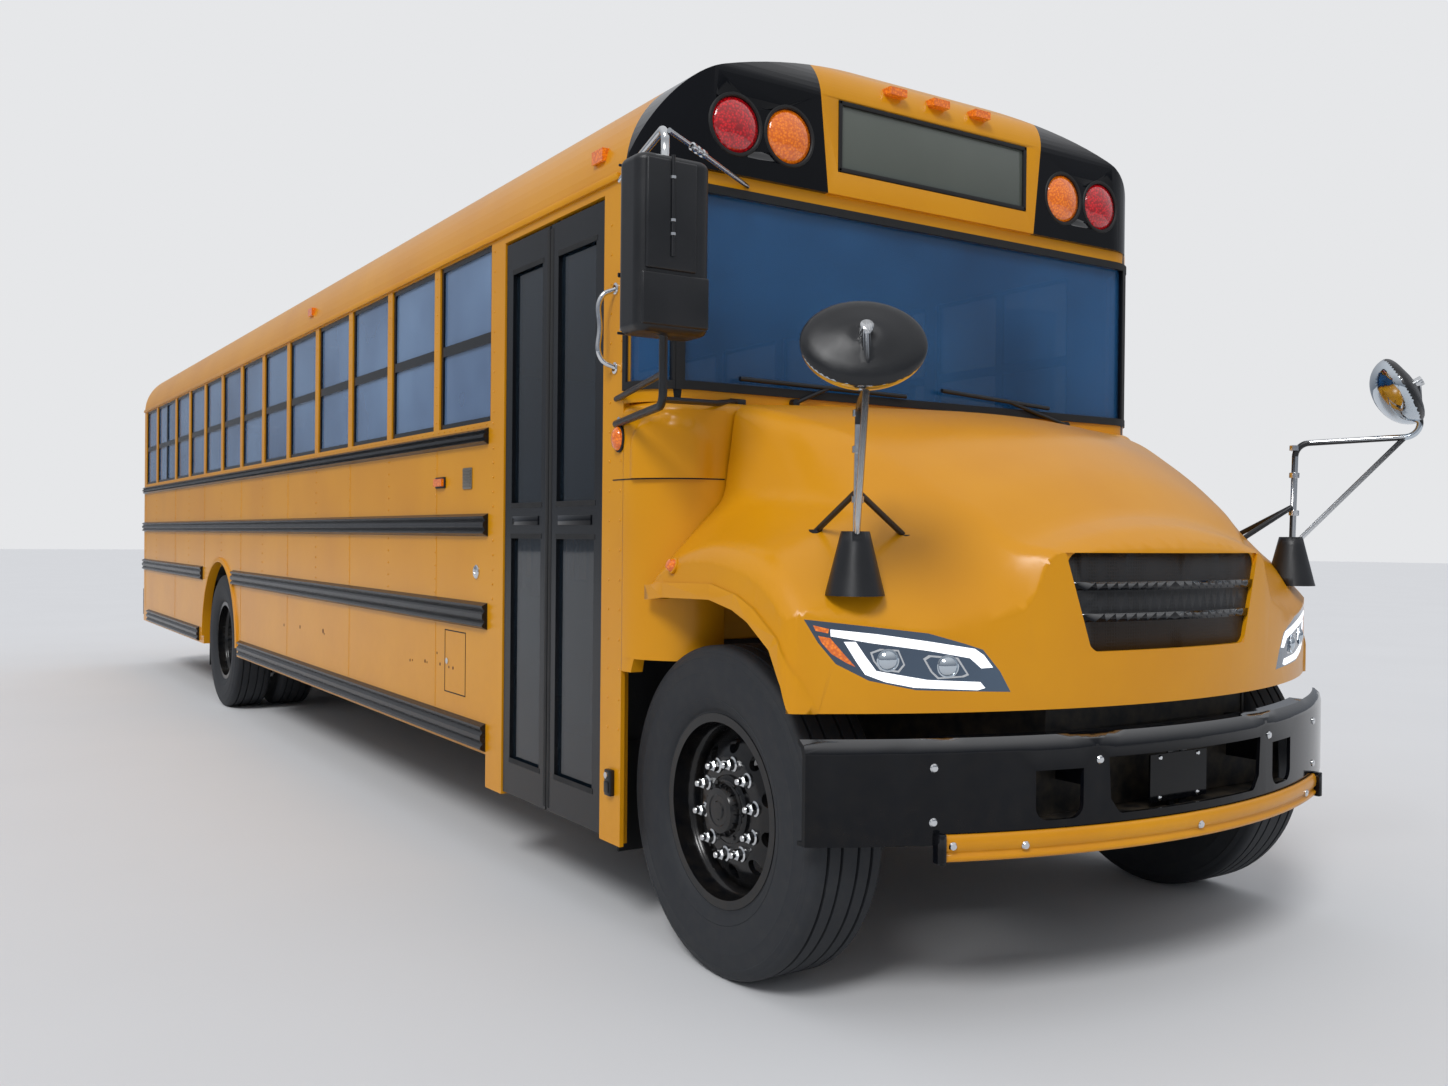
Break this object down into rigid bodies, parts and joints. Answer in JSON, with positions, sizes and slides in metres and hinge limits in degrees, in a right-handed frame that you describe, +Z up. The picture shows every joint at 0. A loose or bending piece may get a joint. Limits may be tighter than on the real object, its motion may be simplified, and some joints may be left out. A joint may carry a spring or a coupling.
{
  "type": "school bus",
  "caption": "Long wheelbase conventional school bus with a tilting hood, split entry door, rear exit door, roof hatches and steered wheels.",
  "frame": {"origin": "on the ground under the middle of the whole length", "axes": "+X forward along the bus, +Y to its left, +Z up"},
  "size_m": [11.7593, 2.95, 3.125],
  "materials": {
    "body_yellow": "gloss school bus yellow paint",
    "roof_white": "moulded lid",
    "gloss_black": "gloss black paint",
    "black_frame": "satin black paint",
    "black_rail": "semi-gloss black paint",
    "black_plastic": "moulded black plastic",
    "rubber": "black rubber",
    "tyre": "black tyre rubber",
    "wheel_black": "gloss black wheel enamel",
    "glass": "tinted safety glass",
    "lamp_clear": "clear moulded lens",
    "lamp_red": "red moulded lens",
    "lamp_amber": "amber moulded lens",
    "chassis_black": "chassis black",
    "cast_engine": "painted cast iron",
    "exhaust_steel": "dull aluminised steel",
    "floor_rubber": "black ribbed floor rubber",
    "seat_vinyl": "dark vinyl",
    "dash_plastic": "grained dark plastic",
    "stop_red": "red reflective sheet"
  },
  "bodies": {
    "bus_body": {"bumper_bar": "body_yellow", "chassis_frame": "chassis_black", "cowl": "body_yellow", "dashboard": "dash_plastic", "drive_shaft": "chassis_black", "engine_block": "cast_engine", "entry_steps": "floor_rubber", "exhaust": "exhaust_steel", "floor": "floor_rubber", "frame_members": "chassis_black", "front_axle": "chassis_black", "front_bumper": "gloss_black", "front_cap": "body_yellow", "fuel_tank": "chassis_black", "lamps_amber": "lamp_amber", "lamps_red": "lamp_red", "leaf_springs": "chassis_black", "light_pods": "gloss_black", "mud_flaps": "rubber", "rear_axle": "chassis_black", "rear_bumper": "gloss_black", "rear_wall": "body_yellow", "roof": "body_yellow", "rub_rails": "black_rail", "seats": "seat_vinyl", "side_mirrors": "black_plastic", "side_wall_left": "body_yellow", "side_wall_right": "body_yellow", "stop_arm_bracket": "black_plastic", "wheel_housings": "floor_rubber", "window_glass": "glass", "window_sashes": "black_frame", "windshield_frame": "body_yellow", "windshield_glass": "glass", "windshield_seal": "rubber", "wipers": "black_plastic"},
    "hood_group": {"hood": "body_yellow", "headlamps": "lamp_clear", "grille": "black_plastic", "crossview_mirrors": "black_plastic"},
    "entry_leaf_front": {"entry_door_front": "black_frame", "entry_door_front_glass": "glass"},
    "entry_leaf_rear": {"entry_door_rear": "black_frame", "entry_door_rear_glass": "glass"},
    "rear_exit": {"rear_door": "body_yellow", "rear_door_glass": "glass"},
    "hatch_front": {"front_roof_hatch": "roof_white"},
    "hatch_rear": {"rear_roof_hatch": "roof_white"},
    "stop_sign_arm": {"stop_arm": "stop_red"},
    "steer_left_body": {"knuckle_left": "chassis_black"},
    "steer_right_body": {"knuckle_right": "chassis_black"},
    "wheel_front_left": {"front_tyre_left": "tyre", "front_wheel_left": "wheel_black"},
    "wheel_front_right": {"front_tyre_right": "tyre", "front_wheel_right": "wheel_black"},
    "wheel_rear_left": {"rear_tyres_left": "tyre", "rear_wheels_left": "wheel_black"},
    "wheel_rear_right": {"rear_tyres_right": "tyre", "rear_wheels_right": "wheel_black"}
  },
  "joints": [
    {"name": "hood_tilt", "type": "hinge", "parent": "bus_body", "child": "hood_group", "pos_m": [5.815, 0, 0.93], "axis": [0, 1, 0], "range_deg": [0, 60]},
    {"name": "entry_front_swing", "type": "hinge", "parent": "bus_body", "child": "entry_leaf_front", "pos_m": [4.344, -1.222, 1.4], "axis": [0, 0, 1], "range_deg": [0, 90]},
    {"name": "entry_rear_swing", "type": "hinge", "parent": "bus_body", "child": "entry_leaf_rear", "pos_m": [3.5, -1.222, 1.4], "axis": [0, 0, -1], "range_deg": [0, 90]},
    {"name": "rear_exit_swing", "type": "hinge", "parent": "bus_body", "child": "rear_exit", "pos_m": [-5.757, -0.388, 1.7], "axis": [0, 0, 1], "range_deg": [0, 100]},
    {"name": "front_hatch_lift", "type": "hinge", "parent": "bus_body", "child": "hatch_front", "pos_m": [2.636, 0, 3.095], "axis": [0, 1, 0], "range_deg": [0, 80]},
    {"name": "rear_hatch_lift", "type": "hinge", "parent": "bus_body", "child": "hatch_rear", "pos_m": [-2.964, 0, 3.095], "axis": [0, 1, 0], "range_deg": [0, 80]},
    {"name": "stop_arm_swing", "type": "hinge", "parent": "bus_body", "child": "stop_sign_arm", "pos_m": [3.2, 1.262, 1.592], "axis": [0, 0, -1], "range_deg": [0, 90]},
    {"name": "steer_left", "type": "hinge", "parent": "bus_body", "child": "steer_left_body", "pos_m": [4.975, 0.88, 0.51], "axis": [0, 0, 1], "range_deg": [-35, 35]},
    {"name": "steer_right", "type": "hinge", "parent": "bus_body", "child": "steer_right_body", "pos_m": [4.975, -0.88, 0.51], "axis": [0, 0, 1], "range_deg": [-35, 35]},
    {"name": "spin_front_left", "type": "hinge", "parent": "steer_left_body", "child": "wheel_front_left", "pos_m": [4.975, 1.02, 0.51], "axis": [0, 1, 0], "continuous": true},
    {"name": "spin_front_right", "type": "hinge", "parent": "steer_right_body", "child": "wheel_front_right", "pos_m": [4.975, -1.02, 0.51], "axis": [0, 1, 0], "continuous": true},
    {"name": "spin_rear_left", "type": "hinge", "parent": "bus_body", "child": "wheel_rear_left", "pos_m": [-2.035, 0.8925, 0.51], "axis": [0, 1, 0], "continuous": true},
    {"name": "spin_rear_right", "type": "hinge", "parent": "bus_body", "child": "wheel_rear_right", "pos_m": [-2.035, -0.8925, 0.51], "axis": [0, 1, 0], "continuous": true}
  ],
  "couplings": [
    {"joint": "entry_rear_swing", "follows": "entry_front_swing", "ratio": 1},
    {"joint": "steer_right", "follows": "steer_left", "ratio": 1}
  ]
}
